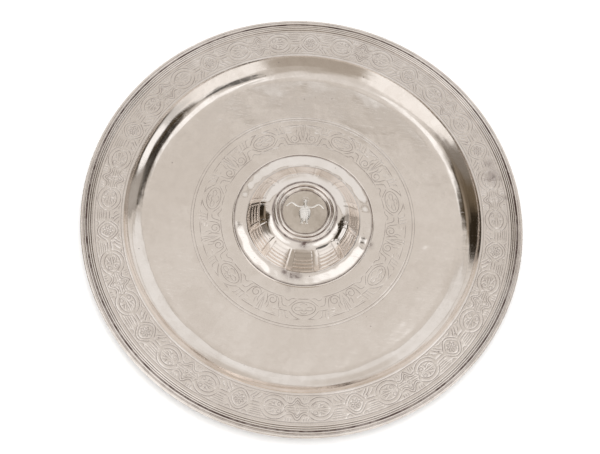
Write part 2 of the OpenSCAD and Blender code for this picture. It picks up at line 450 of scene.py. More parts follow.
def loopAt(verts, r, radius):
    # vertices that lie on the circle of this radius, in order of their angle
    ids = np.nonzero(np.abs(r - radius) < 0.01)[0]
    return ids[np.argsort(np.arctan2(verts[ids, 1], verts[ids, 0]))]


def stitchGrid(verts, marks, loopStart, rows, loopEnd):
    # carries the loop of vertices loopStart along rows of (radius, z) and closes on loopEnd:
    # each quad joins neighbours on one loop to the same neighbours on the next
    angle = np.arctan2(verts[loopStart, 1], verts[loopStart, 0])
    n = len(loopStart)
    faces, last = [], loopStart
    for radius, z in rows:
        x, y = radius * np.cos(angle), radius * np.sin(angle)
        new = np.arange(n) + len(verts)
        verts = np.vstack([verts, np.stack([x, y, z(x, y) if callable(z) else np.full(n, z)], -1)])
        marks = np.concatenate([marks, np.zeros(n)])
        faces.append(np.stack([last, new, np.roll(new, -1), np.roll(last, -1)], -1))
        last = new
    faces.append(np.stack([last, loopEnd, np.roll(loopEnd, -1), np.roll(last, -1)], -1))
    return verts, marks, np.vstack(faces)


# tarnish that polishing has left: x, y, size and strength of each cloud
borderStains = [(188.0, 84.0, 7.0, 0.9), (183.0, 98.0, 5.0, 0.5), (205.0, 62.0, 4.0, 0.4)]
wellStains = [(74.0, -14.0, 3.0, 0.6), (0.0, -76.0, 5.0, 0.2), (-30.0, 118.0, 55.0, 0.06)]
bossStains = [(6.0, -34.4, 4.5, 1.0), (-1.0, -63.0, 4.6, 1.0), (5.0, -62.0, 4.0, 1.0),
              (-9.0, -61.0, 3.0, 0.8)]


def spots(x, y, places):
    # sum of strength exp(-(d / size)^2), at most 1
    total = np.zeros_like(x)
    for cx, cy, size, strength in places:
        total += strength * np.exp(-((x - cx) ** 2 + (y - cy) ** 2) / size ** 2)
    return np.clip(total, 0, 1)


def borderHeight(x, y, r):
    # straight slope from the crisp edge to the edge wire, plus the hammering
    climb = (dish["edgeZ"] - dish["borderZ"]) / (dish["edgeR"] - dish["borderR"])
    return dish["borderZ"] + climb * (r - dish["borderR"]) + hammered(x, y) + dented(x, y)


def dishBorder():
    # engraved top from borderR to edgeR, then back under it one sheet thickness lower
    low, high = dish["borderR"] - rim["centreR"], dish["edgeR"] - rim["centreR"]
    verts, faces, mark, r = buildRing("dishBorder", rim, rimStrokes(rim), low, high, borderHeight)
    outside, inside = loopAt(verts, r, dish["edgeR"]), loopAt(verts, r, dish["borderR"])

    def under(radius):
        return lambda x, y: borderHeight(x, y, radius) - dish["sheet"]

    radii = (dish["edgeR"], 216.0, 205.0, 194.0, dish["borderR"])
    rows = [(radius, under(radius)) for radius in radii]
    verts, mark, quads = stitchGrid(verts, mark, outside, rows, inside)
    stain = spots(verts[:, 0], verts[:, 1], borderStains)
    return makeMesh("dishBorder", verts, list(faces) + list(quads), 12, {"cut": mark, "stain": stain})


def coveHeight(r):
    # round cove: z = sheet + R - sqrt(R^2 - (r - wellR)^2)
    x = np.clip(r - dish["wellR"], 0, None)
    return dish["sheet"] + dish["coveR"] - np.sqrt(dish["coveR"] ** 2 - x ** 2)


def wellHeight(x, y, r):
    # floor and cove with dents and ridges; the hammering fades out under the boss
    plain = coveHeight(r) + dented(x, y) + streaked(x, y, np.broadcast_to(r, x.shape))
    return plain + hammered(x, y) * smooth((r - 74) / 12)


def dishWell():
    # engraved band, floor and cove outwards, then back underneath to the opening and its ledge
    low, high = inner["low"], inner["high"]
    verts, faces, mark, r = buildRing("dishWell", inner, innerStrokes(inner), low, high, wellHeight)
    outside = loopAt(verts, r, inner["centreR"] + high)
    inside = loopAt(verts, r, inner["centreR"] + low)

    def coveR(turn):
        return dish["wellR"] + dish["coveR"] * math.sin(math.radians(turn))

    def top(radius):
        return lambda x, y: wellHeight(x, y, radius)

    def under(radius, turn):
        # the sheet's underside, one sheet thickness below along the normal
        drop = dish["sheet"] * math.cos(math.radians(turn))
        return lambda x, y: np.maximum(wellHeight(x, y, radius) - drop, 0)

    floorR = np.linspace(inner["centreR"] + high, dish["wellR"], 20)[1:-1]
    upR = [coveR(turn) for turn in np.linspace(0, dish["coveTurn"], 27)]
    rows = [(radius, top(radius)) for radius in (*floorR, *upR)]
    for turn in np.linspace(dish["coveTurn"], 0, 9):
        low = coveR(turn) + dish["sheet"] * math.sin(math.radians(turn))
        rows.append((min(low, dish["borderR"]), under(coveR(turn), turn)))
    rows += [(radius, 0.0) for radius in (150.0, 125.0, 100.0, 80.0, dish["holeR"])]
    rows += [(dish["holeR"], dish["sheet"]), (dish["ledgeR"], dish["sheet"])]
    verts, mark, quads = stitchGrid(verts, mark, outside, rows, inside)
    stain = spots(verts[:, 0], verts[:, 1], wellStains)
    return makeMesh("dishWell", verts, list(faces) + list(quads), 12, {"cut": mark, "stain": stain})


moulding = {"startR": 216.0, "pitch": 2.0, "reeds": 3, "bold": 1.1, "strip": 0.3, "width": 9.0,
            "sink": 0.05, "outerShadePainted": 0.45}


def rimMoulding():
    # three half-round reeds and a bolder one, carried round on the border: z = section + border
    m = moulding
    reed, middle = m["pitch"] / 2 - 0.03, m["strip"] / 2
    p = np.vstack(
        [[[0, -m["sink"]]]]
        + [bow(m["pitch"] * (i + 0.5), middle, reed, 176, 4, 10) for i in range(m["reeds"])]
        + [bow(m["width"] - m["bold"] - 0.02, middle, m["bold"], 176, 4, 12)]
        + [[[m["width"], -m["sink"]], [m["width"] / 2, -m["sink"]]]])
    turns = 2 * rim["repeats"] * rim["edges"]
    r = m["startR"] + p[:, 0]
    grid = turned(np.stack([r, p[:, 1]], -1), turns, rim["phase"])
    grid[..., 2] += borderHeight(grid[..., 0], grid[..., 1], np.repeat(r[:, None], turns, 1))
    # painted shade: the cut mark darkens each reed's lower sides and the grooves between the reeds, fading
    # out near the crowns; the bold outer reed and its groove are darker still, and the sunk base fully dark;
    # no engraving lies here
    outerShade = m["outerShadePainted"] * (p[:, 0] > 2.6 * m["pitch"])
    deep = np.clip(1.45 + outerShade - (p[:, 1] - 0.1) / 0.6, 0, 1)
    deep[0] = deep[-1] = deep[-2] = 1
    return makeMesh("rimMoulding", grid.reshape(-1, 3), ringFaces(len(p), turns), 50,
                    {"cut": np.repeat(deep, turns)})


wire = {"width": 3.0, "round": 0.8}


def edgeWire():
    # square wire with two rounded corners, its top level with the border's edge
    w, c = wire["width"], wire["round"]
    p = np.vstack([[[0, w], [(w - c) / 2, w + 0.05]], bow(w - c, w - c, c, 90, 0, 6),
                   [[w + 0.04, w / 2]], bow(w - c, c, c, 0, -90, 6), [[0, 0]]])
    turns = 2 * rim["repeats"] * rim["edges"]
    grid = turned(p + [dish["edgeR"], 0], turns, rim["phase"])
    grid[..., 2] += borderHeight(grid[..., 0], grid[..., 1], dish["edgeR"]) - w
    # painted reflection: the cut mark darkens the wire's outer face, underside and inner face below its top,
    # standing in for a dark reflection there
    side = np.clip((w - 0.25 - p[:, 1]) / 0.6, 0, 1)
    side[0] = 1
    return makeMesh("edgeWire", grid.reshape(-1, 3), ringFaces(len(p), turns), 50,
                    {"cut": np.repeat(side, turns)})


boss = {"r": 72.5, "height": 22.4, "sheet": 1.0, "footR": 58.5, "domeR": 39.5, "domeZ": 21.5,
        "wallTurn": 52.0, "domeTurn": 14.0, "shoulderR": 15.6, "straps": 12, "strapTurn": 24.2,
        "strap": 0.07, "strapHeight": 0.14, "reeds": 5, "reedDepth": 0.15, "panelDepth": 0.16,
        "wobble": 0.045, "columns": 48}
bossRows = {"dome": 12, "shoulder": 34, "wall": 46, "fillet": 5, "foot": 13}


def bossLine(b):
    # half section outwards from the bezel: parabolic dome, round shoulder, straight wall, fillet
    # on a quadratic curve, foot; and how far up the wall and shoulder each point is, 0..1
    n = bossRows
    low, high = math.radians(b["wallTurn"]), math.radians(b["domeTurn"])
    middle = np.array([b["domeR"] - b["shoulderR"] * math.sin(high),
                       b["domeZ"] - b["shoulderR"] * math.cos(high)])
    a = np.linspace(high, low, n["shoulder"])
    shoulder = middle + b["shoulderR"] * np.stack([np.sin(a), np.cos(a)], -1)
    footZ = shoulder[-1, 1] - (b["footR"] - shoulder[-1, 0]) * math.tan(low)
    t = np.linspace(0, 1, n["wall"] + 1)[1:, None]
    wall = shoulder[-1] + (np.array([b["footR"], footZ]) - shoulder[-1]) * t
    t = np.linspace(0, 1, n["fillet"] + 1)[1:, None]
    fillet = wall[-1] * (1 - t) ** 2 + np.array([b["footR"] + 0.5, 2.0]) * 2 * t * (1 - t) \
        + np.array([b["footR"] + 1.5, 2.0]) * t ** 2
    t = np.linspace(1, 0, n["foot"] + 1)[1:, None]
    foot = np.hstack([b["r"] - (b["r"] - b["footR"] - 1.5) * t, b["sheet"] + smooth(t)])
    start = ringHigh[0] / mm + 0.02
    t = np.linspace(0, 1, n["dome"], endpoint=False)[:, None]
    dome = np.hstack([start + (b["domeR"] - start) * t,
                      b["domeZ"] + (b["height"] - b["domeZ"]) * (1 - t ** 2)])
    line = np.vstack([dome, shoulder, wall, fillet, foot])
    step = np.hypot(*np.diff(line, axis=0).T)
    length = np.concatenate([[0], np.cumsum(step)])
    first, last = n["dome"], n["dome"] + n["shoulder"] + n["wall"] - 1
    along = (length - length[first]) / (length[last] - length[first])
    return line, 1 - along[:, None]


def bossShell():
    # the section turned round the axis; along the normal, straps stand out and reeded panels
    # lie back: relief = strapHeight * strap - panel * (panelDepth - reedDepth * ridge)
    b = boss
    top, along = bossLine(b)
    seatR, seatZ = top[0, 0], discLow[2] / mm - dish["sheet"]
    run = np.gradient(top, axis=0)
    normal = np.stack([-run[:, 1], run[:, 0]], -1) / np.hypot(*run.T)[:, None]
    turns = b["straps"] * b["columns"]
    # share is 0 and 1 at the middles of straps
    share = (np.arange(turns) / b["columns"] % 1)[None, :]
    side = np.minimum(share, 1 - share)
    onPanel = smooth((side - b["strap"] - 0.02) / 0.03) * smooth((along - 0.05) / 0.03) \
        * smooth((0.9 - along) / 0.03)
    inFrame = smooth((side - b["strap"] - 0.06) / 0.03)
    ridge = np.abs(np.cos(math.pi * b["reeds"] * (along - 0.06) / 0.83)) ** 0.7
    onStrap = (1 - smooth((side - b["strap"]) / 0.03)) * smooth((along + 0.06) / 0.05) \
        * smooth((0.97 - along) / 0.05)
    relief = b["strapHeight"] * onStrap - onPanel * (b["panelDepth"] - b["reedDepth"] * ridge * inFrame)
    phase = math.radians(b["strapTurn"])
    grid, flat = turned(top, turns, phase), turned(normal, turns, phase)
    relief = relief + b["wobble"] * waves(grid[..., 0], grid[..., 1], 13, 14, 21)
    grid = grid + flat * relief[..., None]
    inside = (top - normal * b["sheet"])[::6]
    inside = inside[(inside[:, 1] > 0.4) & (inside[:, 0] > seatR + 0.4)]
    under = np.vstack([[[b["r"], 0.0], [dish["holeR"] - 1, 0.0]], inside[::-1],
                       [[seatR, seatZ - b["sheet"]], [2.7, seatZ - b["sheet"]], [2.7, seatZ],
                        [seatR, seatZ]]])
    whole = np.concatenate([grid, turned(under, turns, phase)])
    whole[..., 2] += dish["sheet"]
    # cut mark, no engraving: painted shade in the panels' hollows between the reeds and in the crease at the
    # foot of the wall; crevice tarnish and painted shade in the gap beside the bezel and at the flange's
    # edge by the seam wire
    cut = np.zeros(whole.shape[:2])
    r = top[:, :1]
    cut[:len(top)] = onPanel * (1 - ridge * inFrame) * 0.35 + np.clip(2.2 - (r - seatR), 0, 1) \
        + np.clip(1.2 - (b["r"] - r) / 1.2, 0, 1) \
        + 0.5 * np.clip(1 - np.abs(r - b["footR"] - 0.7) / 1.0, 0, 1)
    return makeMesh("bossShell", whole.reshape(-1, 3), ringFaces(len(whole), turns), 40,
                    {"cut": np.clip(cut, 0, 1).ravel(),
                     "stain": spots(whole[..., 0], whole[..., 1], bossStains).ravel()})


seam = {"round": 0.9, "wobble": 0.06, "turns": 432}


def seamWire():
    # round wire that touches the floor and the boss's flange, a little uneven in height
    n = seam["turns"]
    p = np.vstack([[[0.2, 0]], bow(seam["round"], 0.3, seam["round"], 180, -19, 12)])
    grid = turned(p + [boss["r"], dish["sheet"]], n)
    grid[..., 2] += seam["wobble"] * waves(grid[..., 0], grid[..., 1], 20, 8, 5)
    # crevice tarnish and painted shade: the cut mark darkens the wire's lowest half millimetre, where it
    # meets the floor
    low = np.clip(1 - p[:, 1] / 0.5, 0, 1)
    return makeMesh("seamWire", grid.reshape(-1, 3), ringFaces(len(p), n), 60,
                    {"cut": np.repeat(low, n)})


bezel = {"inR": 23.55, "lip": 1.2, "step": 1.6, "thick": 1.0, "turns": 360}


def bezelRing():
    # ring with two half-round ridges and a lip that holds the print; radius *= 1 + 0.0012 sin 5a
    lip, step, thick, n = bezel["lip"], bezel["step"], bezel["thick"], bezel["turns"]
    w = ringHigh[0] / mm - bezel["inR"]
    p = np.vstack([[[lip, 0], [lip, thick], [0, thick], [0, thick + 0.15]],
                   bow(w * 0.28, step, w * 0.16, 178, 2, 12), bow(w * 0.76, step, w * 0.2, 178, 2, 16),
                   [[w, step], [w, 0.6], [w, 0]]])
    grid = turned(p + [bezel["inR"], discLow[2] / mm], n)
    grid[..., :2] *= 1 + 0.0012 * np.sin(np.arctan2(grid[..., 1], grid[..., 0]) * 5 + 1)[..., None]
    # crevice tarnish and painted shade: the cut mark darkens the inner edge beside the print, the valley
    # between the two ridges and the outer wall in the gap beside the boss
    deep = np.zeros(len(p))
    deep[[3, 4, 16, 17, -1, -2, -3]] = (1, 0.2, 0.9, 0.9, 1, 1, 0.5)
    return makeMesh("bezelRing", grid.reshape(-1, 3), ringFaces(len(p), n), 55,
                    {"cut": np.repeat(deep, n)})


plate = {"r": 24.74, "thick": 1.0, "ground": 0.25, "wobble": 0.02, "turns": 240}


def printDisc():
    # flat plate whose ground lies a little below its rim: polar grid, one point closes each face
    turns, outR = plate["turns"], plate["r"]
    r = np.concatenate([np.linspace(0.6, 23.2, 48), np.linspace(23.3, outR, 8)])
    top = discHigh[2] / mm
    low = top - plate["thick"]
    grid = turned(np.stack([r, 0 * r + top], -1), turns)
    rise = plate["ground"] * smooth((r - 21.6) / 1.8)[:, None]
    uneven = plate["wobble"] * waves(grid[..., 0], grid[..., 1], 7, 14, 31)
    grid[..., 2] += uneven - plate["ground"] + rise
    whole = np.concatenate([grid, turned([[outR, low], [0.6, low]], turns)])
    n = len(whole) * turns
    verts = np.vstack([whole.reshape(-1, 3), [[0, 0, top - plate["ground"]], [0, 0, low]]])
    j = np.arange(turns)
    capTop = np.stack([j, np.roll(j, -1), np.full(turns, n)], -1)
    last = (len(whole) - 1) * turns
    capLow = np.stack([last + np.roll(j, -1), last + j, np.full(turns, n + 1)], -1)
    faces = list(ringFaces(len(whole), turns, closed=False)) + list(capTop) + list(capLow)
    # painted shadow: the cut mark darkens the disc's edge from 22.6 mm outwards, under and beside the
    # bezel's lip
    bezelShadowMark = np.concatenate([np.clip((r - 22.6) / 0.9, 0, 1), [0, 0]])
    mark = np.concatenate([np.repeat(bezelShadowMark, turns), [0, 0]])
    return makeMesh("printDisc", verts, faces, 40, {"cut": mark})


bird = {"turn": 7.0, "headY": 12.2, "step": 0.22}


def lineDistance(x, y, points):
    # distance from each (x, y) to an open line, and how far along it, 0..1
    p = np.array(points, dtype=float)
    best, along = np.full(x.shape, 99.0), np.zeros(x.shape)
    for k in range(len(p) - 1):
        d = p[k + 1] - p[k]
        t = np.clip(((x - p[k, 0]) * d[0] + (y - p[k, 1]) * d[1]) / (d @ d), 0, 1)
        gap = np.hypot(x - p[k, 0] - t * d[0], y - p[k, 1] - t * d[1])
        along = np.where(gap < best, (k + t) / (len(p) - 1), along)
        best = np.minimum(best, gap)
    return best, along


def dome(distance, radius, height):
    # height * sqrt(1 - (distance / radius)^2), 0 outside
    return height * np.sqrt(np.clip(1 - (distance / radius) ** 2, 0, 1))


def birdHeight(x, y):
    # union of domes: body with scale furrows, neck, head, beak, wings, legs, toes and a plain ring
    ax = np.abs(x)
    body = dome(np.hypot(x / 6.2, (y + 1.3) / 9.3), 1, 1.4)
    body *= 1 - 0.12 * (0.5 + 0.5 * np.cos(y * 3.4 + 1.6 * np.cos(x * 3.6)))
    neckGap, _ = lineDistance(x, y, [(0, 3), (0, 11)])
    beak, _ = lineDistance(x, y, [(0, bird["headY"]), (-1.6, bird["headY"] - 1.5)])
    halo = np.abs(np.hypot(x, y - bird["headY"] - 1.0) - 3.0)
    gap, along = lineDistance(ax, y, [(3, 5.2), (6, 5.2), (9, 6.2), (12, 8.4), (14, 9.2),
                                      (16.2, 8), (19.2, 4.8)])
    leg, _ = lineDistance(ax, y, [(1.9, -7), (2.5, -11.2)])
    toes, _ = lineDistance(ax, y, [(1.2, -13.0), (2.5, -11.6), (3.8, -13.0)])
    shapes = [body, dome(neckGap, 1.9, 1.2), dome(np.hypot(x, y - bird["headY"]), 2.1, 1.6),
              dome(beak, 0.8, 1.0), dome(halo, 0.42, 0.45), dome(gap, 1.35 - 0.5 * along, 1.1),
              dome(leg, 1.3, 1.1), dome(toes, 0.65, 0.8)]
    return np.max(shapes, axis=0)


def birdRelief():
    # height field kept where it stands above the plate, closed down to a flat back
    s = np.arange(-21, 21.01, bird["step"])
    x, y = np.meshgrid(s, np.arange(-14.5, 17.01, bird["step"]))
    h = birdHeight(x, y)
    rows, cols = h.shape
    i, j = np.meshgrid(np.arange(rows - 1), np.arange(cols - 1), indexing="ij")
    corner = (i * cols + j).ravel()
    quads = np.stack([corner, corner + 1, corner + cols + 1, corner + cols], -1)
    quads = quads[(h.ravel()[quads] > 0.03).all(1)]
    edges = np.stack([quads, np.roll(quads, -1, 1)], -1).reshape(-1, 2)
    n = rows * cols
    # an outline edge is one that no other quad runs back along
    code, back = edges[:, 0] * n + edges[:, 1], edges[:, 1] * n + edges[:, 0]
    outline = edges[~np.isin(code, back)]
    walls = np.stack([outline[:, 1], outline[:, 0], outline[:, 0] + n, outline[:, 1] + n], -1)
    faces = np.vstack([quads, quads[:, ::-1] + n, walls])
    used, faces = np.unique(faces, return_inverse=True)
    faces = faces.reshape(-1, 4)
    c, k = math.cos(math.radians(bird["turn"])), math.sin(math.radians(bird["turn"]))
    base = discHigh[2] / mm - plate["ground"]
    flat = np.stack([x * c - y * k, x * k + y * c], -1).reshape(-1, 2)
    verts = np.vstack([np.column_stack([flat, base + h.ravel()]),
                       np.column_stack([flat, np.full(n, base - 0.1)])])[used]
    # painted shade: the cut mark darkens the relief where it stands less than 0.3 mm above the plate, giving
    # a dark outline all round its foot
    mark = np.tile(np.clip(1 - h / 0.3, 0, 1).ravel(), 2)
    return makeMesh("birdRelief", verts, faces, 60, {"cut": np.clip(mark[used], 0, 1)})


def give(tree, socket, value):
    # links an output to the socket or sets its value; a colour of three numbers gets alpha 1
    if isinstance(value, bpy.types.NodeSocket):
        tree.links.new(value, socket)
    elif socket.type == "RGBA" and len(value) == 3:
        socket.default_value = (*value, 1)
    else:
        socket.default_value = value


def add(tree, kind, props=None, **inputs):
    # a node with its properties set and its inputs linked or given a value; _0 is input number 0
    made = tree.nodes.new("ShaderNode" + kind)
    for key, value in (props or {}).items():
        setattr(made, key, value)
    for key, value in inputs.items():
        name = int(key[1:]) if key[0] == "_" else key.replace("_", " ")
        give(tree, made.inputs[name], value)
    return made


def calc(tree, operation, *values):
    # one step of arithmetic on sockets and numbers
    return add(tree, "Math", {"operation": operation},
               **{"_" + str(i): v for i, v in enumerate(values)}).outputs[0]


def fade(tree, value, start, end, low=0.0, high=1.0):
    # smooth step of value from start to end, given out as low to high
    return add(tree, "MapRange", {"interpolation_type": "SMOOTHSTEP"}, Value=value, From_Min=start,
               From_Max=end, To_Min=low, To_Max=high).outputs[0]


def blend(tree, factor, a, b):
    # colour a * (1 - factor) + b * factor
    return add(tree, "Mix", {"data_type": "RGBA"}, Factor=factor, _6=a, _7=b).outputs[2]


def newGroup(name, inputs, outputs):
    # an empty node group with these sockets, and its input and output nodes
    tree = bpy.data.node_groups.new(name, "ShaderNodeTree")
    for title, kind, value in inputs:
        socket = tree.interface.new_socket(title, in_out="INPUT", socket_type="NodeSocket" + kind)
        if value is not None:
            socket.default_value = value
    for title, kind in outputs:
        tree.interface.new_socket(title, in_out="OUTPUT", socket_type="NodeSocket" + kind)
    return tree, tree.nodes.new("NodeGroupInput").outputs, tree.nodes.new("NodeGroupOutput").inputs


def place(tree, group, **inputs):
    # an instance of a node group with its inputs set
    made = add(tree, "Group", {"node_tree": group})
    for key, value in inputs.items():
        give(tree, made.inputs[key], value)
    return made.outputs


def makeBloom():
    # cloudy mask: slow noise and quicker noise, 0 where polished and 1 where dull
    tree, given, out = newGroup("bloom", [("Place", "Vector", None), ("Scale", "Float", 14.0)],
                                [("Mask", "Float")])
    slow = add(tree, "TexNoise", Vector=given["Place"], Scale=given["Scale"], Detail=4.0,
               Roughness=0.55, Distortion=0.6)
    quick = add(tree, "TexNoise", Vector=given["Place"], Scale=calc(tree, "MULTIPLY", given["Scale"], 6.0),
                Detail=5.0, Roughness=0.6)
    both = calc(tree, "ADD", calc(tree, "MULTIPLY", slow.outputs[0], 0.7),
                calc(tree, "MULTIPLY", quick.outputs[0], 0.3))
    tree.links.new(fade(tree, both, 0.38, 0.62), out["Mask"])
    return tree


def makeSpecks():
    # small dark spots: the middles of a sparse share of Voronoi cells
    tree, given, out = newGroup("specks", [("Place", "Vector", None), ("Scale", "Float", 160.0),
                                           ("Share", "Float", 0.1)], [("Mask", "Float")])
    bent = add(tree, "VectorMath", {"operation": "ADD"}, _0=given["Place"],
               _1=add(tree, "VectorMath", {"operation": "SCALE"},
                      _0=add(tree, "TexNoise", Vector=given["Place"], Scale=900.0).outputs[1],
                      Scale=0.0012).outputs[0])
    cells = add(tree, "TexVoronoi", Vector=bent.outputs[0], Scale=given["Scale"])
    chosen = calc(tree, "LESS_THAN", add(tree, "SeparateColor", Color=cells.outputs["Color"]).outputs[0],
                  given["Share"])
    near = fade(tree, cells.outputs["Distance"], 0.16, 0.06)
    tree.links.new(calc(tree, "MULTIPLY", chosen, near), out["Mask"])
    return tree


def makeHairlines():
    # hairline scratches: noise drawn out along three directions, only its crests kept
    tree, given, out = newGroup("hairlines", [("Place", "Vector", None), ("Scale", "Float", 40.0)],
                                [("Height", "Float")])
    total = None
    for turn, stretch in ((0.3, 34.0), (1.5, 40.0), (2.5, 30.0)):
        laid = add(tree, "Mapping", Vector=given["Place"], Rotation=(0, 0, turn), Scale=(1, stretch, 1))
        lines = add(tree, "TexNoise", Vector=laid.outputs[0], Scale=given["Scale"], Detail=3.0,
                    Roughness=0.7)
        crest = fade(tree, lines.outputs[0], 0.6, 0.72)
        total = crest if total is None else calc(tree, "ADD", total, crest)
    tree.links.new(total, out["Height"])
    return tree


bloom, specks, hairlines = makeBloom(), makeSpecks(), makeHairlines()


def makeSilverSkin():
    # worn silver: bloom and tide marks dull it; the cut mark, stains and specks darken it, the cut mark
    # being tarnish in engraved lines and painted shade on other pieces; scratches and grain give its fine
    # height; roughness = Polished + dull * (Hazy - Polished) + (dirt and painted shade) / 4
    tree, given, out = newGroup(
        "silverSkin",
        [("Place", "Vector", None), ("Cut", "Float", 0.0), ("Stain", "Float", 0.0),
         ("Bright", "Color", None), ("Dull", "Color", None), ("Dark", "Color", None),
         ("Bloom", "Float", 0.5), ("Cut Dark", "Float", 0.5), ("Speck Share", "Float", 0.05),
         ("Polished", "Float", 0.15), ("Hazy", "Float", 0.28)],
        [("Colour", "Color"), ("Roughness", "Float"), ("Height", "Float")])
    cloud = place(tree, bloom, Place=given["Place"], Scale=16.0)["Mask"]
    fine = place(tree, bloom, Place=given["Place"], Scale=90.0)["Mask"]
    dots = place(tree, specks, Place=given["Place"], Scale=170.0, Share=given["Speck Share"])["Mask"]
    scratch = place(tree, hairlines, Place=given["Place"], Scale=40.0)["Height"]
    tide = fade(tree, place(tree, bloom, Place=given["Place"], Scale=7.0)["Mask"], 0.42, 0.56)
    mixed = calc(tree, "ADD", calc(tree, "MULTIPLY", cloud, 0.4), calc(tree, "MULTIPLY", fine, 0.3))
    dull = calc(tree, "MULTIPLY", calc(tree, "MULTIPLY_ADD", tide, 0.3, mixed), given["Bloom"])
    colour = blend(tree, dull, given["Bright"], given["Dull"])
    uneven = fade(tree, fine, 0.0, 1.0, 0.6, 1.0)
    # the cut mark is tarnish in the engraved lines and painted shade in the gaps, creases and undersides
    # that other pieces mark
    grooveTarnishAndShade = calc(tree, "MULTIPLY", calc(tree, "MULTIPLY", given["Cut"], given["Cut Dark"]), uneven)
    rough = fade(tree, fine, 0.1, 0.9, 0.45, 1.0)
    stain = calc(tree, "MULTIPLY", given["Stain"], rough)
    dirtAndShade = calc(tree, "MAXIMUM", calc(tree, "MAXIMUM", grooveTarnishAndShade, stain), calc(tree, "MULTIPLY", dots, 0.6))
    tree.links.new(blend(tree, dirtAndShade, colour, given["Dark"]), out["Colour"])
    spread = calc(tree, "SUBTRACT", given["Hazy"], given["Polished"])
    haze = calc(tree, "MULTIPLY_ADD", dull, spread, given["Polished"])
    tree.links.new(calc(tree, "MULTIPLY_ADD", dirtAndShade, 0.25, haze), out["Roughness"])
    grain = add(tree, "TexNoise", Vector=given["Place"], Scale=1500.0, Detail=2.0).outputs[0]
    height = calc(tree, "ADD", calc(tree, "MULTIPLY", scratch, -0.6), calc(tree, "MULTIPLY", grain, 0.25))
    tree.links.new(height, out["Height"])
    return tree


silverSkin = makeSilverSkin()
print("node groups made")


def metal(name, values, bump):
    # Principled metal whose colour, roughness and bump come from the silverSkin group
    made = bpy.data.materials.new(name)
    made.use_nodes = True
    tree = made.node_tree
    shader = tree.nodes["Principled BSDF"]
    shader.inputs["Metallic"].default_value = 1.0
    marks = [add(tree, "Attribute", {"attribute_name": key}).outputs["Fac"] for key in ("cut", "stain")]
    skin = place(tree, silverSkin, Place=add(tree, "TexCoord").outputs["Object"], Cut=marks[0],
                 Stain=marks[1], **values)
    tree.links.new(skin["Colour"], shader.inputs["Base Color"])
    tree.links.new(skin["Roughness"], shader.inputs["Roughness"])
    raised = add(tree, "Bump", Height=skin["Height"], Strength=0.6, Distance=bump)
    tree.links.new(raised.outputs[0], shader.inputs["Normal"])
    return made


silver = {"Bright": (0.985, 0.925, 0.875), "Dull": (0.855, 0.787, 0.728), "Dark": (0.12, 0.068, 0.062)}
softSilver = {"Bright": (0.92, 0.86, 0.815), "Dull": (0.80, 0.735, 0.68)}
warmSilver = {"Bright": (0.74, 0.665, 0.585), "Dull": (0.55, 0.48, 0.405)}
paleSilver = {"Bright": (1.0, 0.97, 0.93)}
brass = {"Bright": (0.83, 0.62, 0.30), "Dull": (0.62, 0.43, 0.2), "Dark": (0.12, 0.08, 0.04)}
# name, bloom, darkness of the cut mark (tarnish in engraved lines, painted shade elsewhere), share of
# specks, roughness where polished and where hazy, depth of scratches in micrometres, colours that differ
# from silver
finishes = [
    ("sheetSilver", 0.9, 0.95, 0.03, 0.06, 0.17, 20, {}),
    ("borderSilver", 0.9, 1.0, 0.02, 0.13, 0.22, 20, softSilver),
    ("mouldingSilver", 0.5, 0.95, 0.02, 0.12, 0.2, 20, {}),
    ("edgeSilver", 0.9, 0.75, 0.05, 0.2, 0.3, 20, {}),
    ("chasedSilver", 0.5, 0.9, 0.03, 0.05, 0.12, 20, {}),
    ("bezelSilver", 0.4, 0.95, 0.02, 0.07, 0.14, 20, {}),
    ("plateSilver", 0.9, 0.9, 0.06, 0.3, 0.42, 80, warmSilver),
    ("castSilver", 0.2, 0.75, 0.0, 0.16, 0.24, 20, paleSilver),
    ("studSilver", 0.9, 0.5, 0.1, 0.3, 0.5, 60, {}),
    ("nutBrass", 0.9, 0.5, 0.1, 0.25, 0.45, 60, brass),
]
metals = {}
for name, dulled, tarnishAndShadeDark, share, polished, hazy, depth, colours in finishes:
    metals[name] = metal(name, {**silver, **colours, "Bloom": dulled, "Cut Dark": tarnishAndShadeDark,
                                "Speck Share": share, "Polished": polished, "Hazy": hazy}, depth * 1e-6)

# each piece: the function that makes it, the node it stands for, its slot and its finish
pieces = [
    (dishBorder, "dish_body", "silver_sheet", "borderSilver"),
    (dishWell, "dish_body", "silver_sheet", "sheetSilver"),
    (rimMoulding, "rim_moulding", "silver_moulding", "mouldingSilver"),
    (edgeWire, "edge_wire", "silver_edge", "edgeSilver"),
    (bossShell, "boss_shell", "silver_chased", "chasedSilver"),
    (seamWire, "seam_wire", "silver_moulding", "mouldingSilver"),
    (bezelRing, "bezel_ring", "silver_bezel", "bezelSilver"),
    (printDisc, "print_disc", "silver_print", "plateSilver"),
    (birdRelief, "bird_relief", "silver_cast", "castSilver"),
]
for build, node, slot, finish in pieces:
    piece = build()
    piece.data.materials.append(metals[finish])
    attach(piece, "root")
    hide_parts(node)
for node, finish in (("print_stud", "studSilver"), ("backing_washer", "studSilver"),
                     ("retaining_nut", "nutBrass")):
    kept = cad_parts[node]
    kept.data.materials.clear()
    kept.data.materials.append(metals[finish])
print("pieces finished")

# floor and light
stage = {"size": 6.0, "floorZ": -0.0003, "shade": (0.865, 0.87, 0.875), "lampHeight": 2.4,
         "lampSize": 4.0, "lampPower": 108.0}


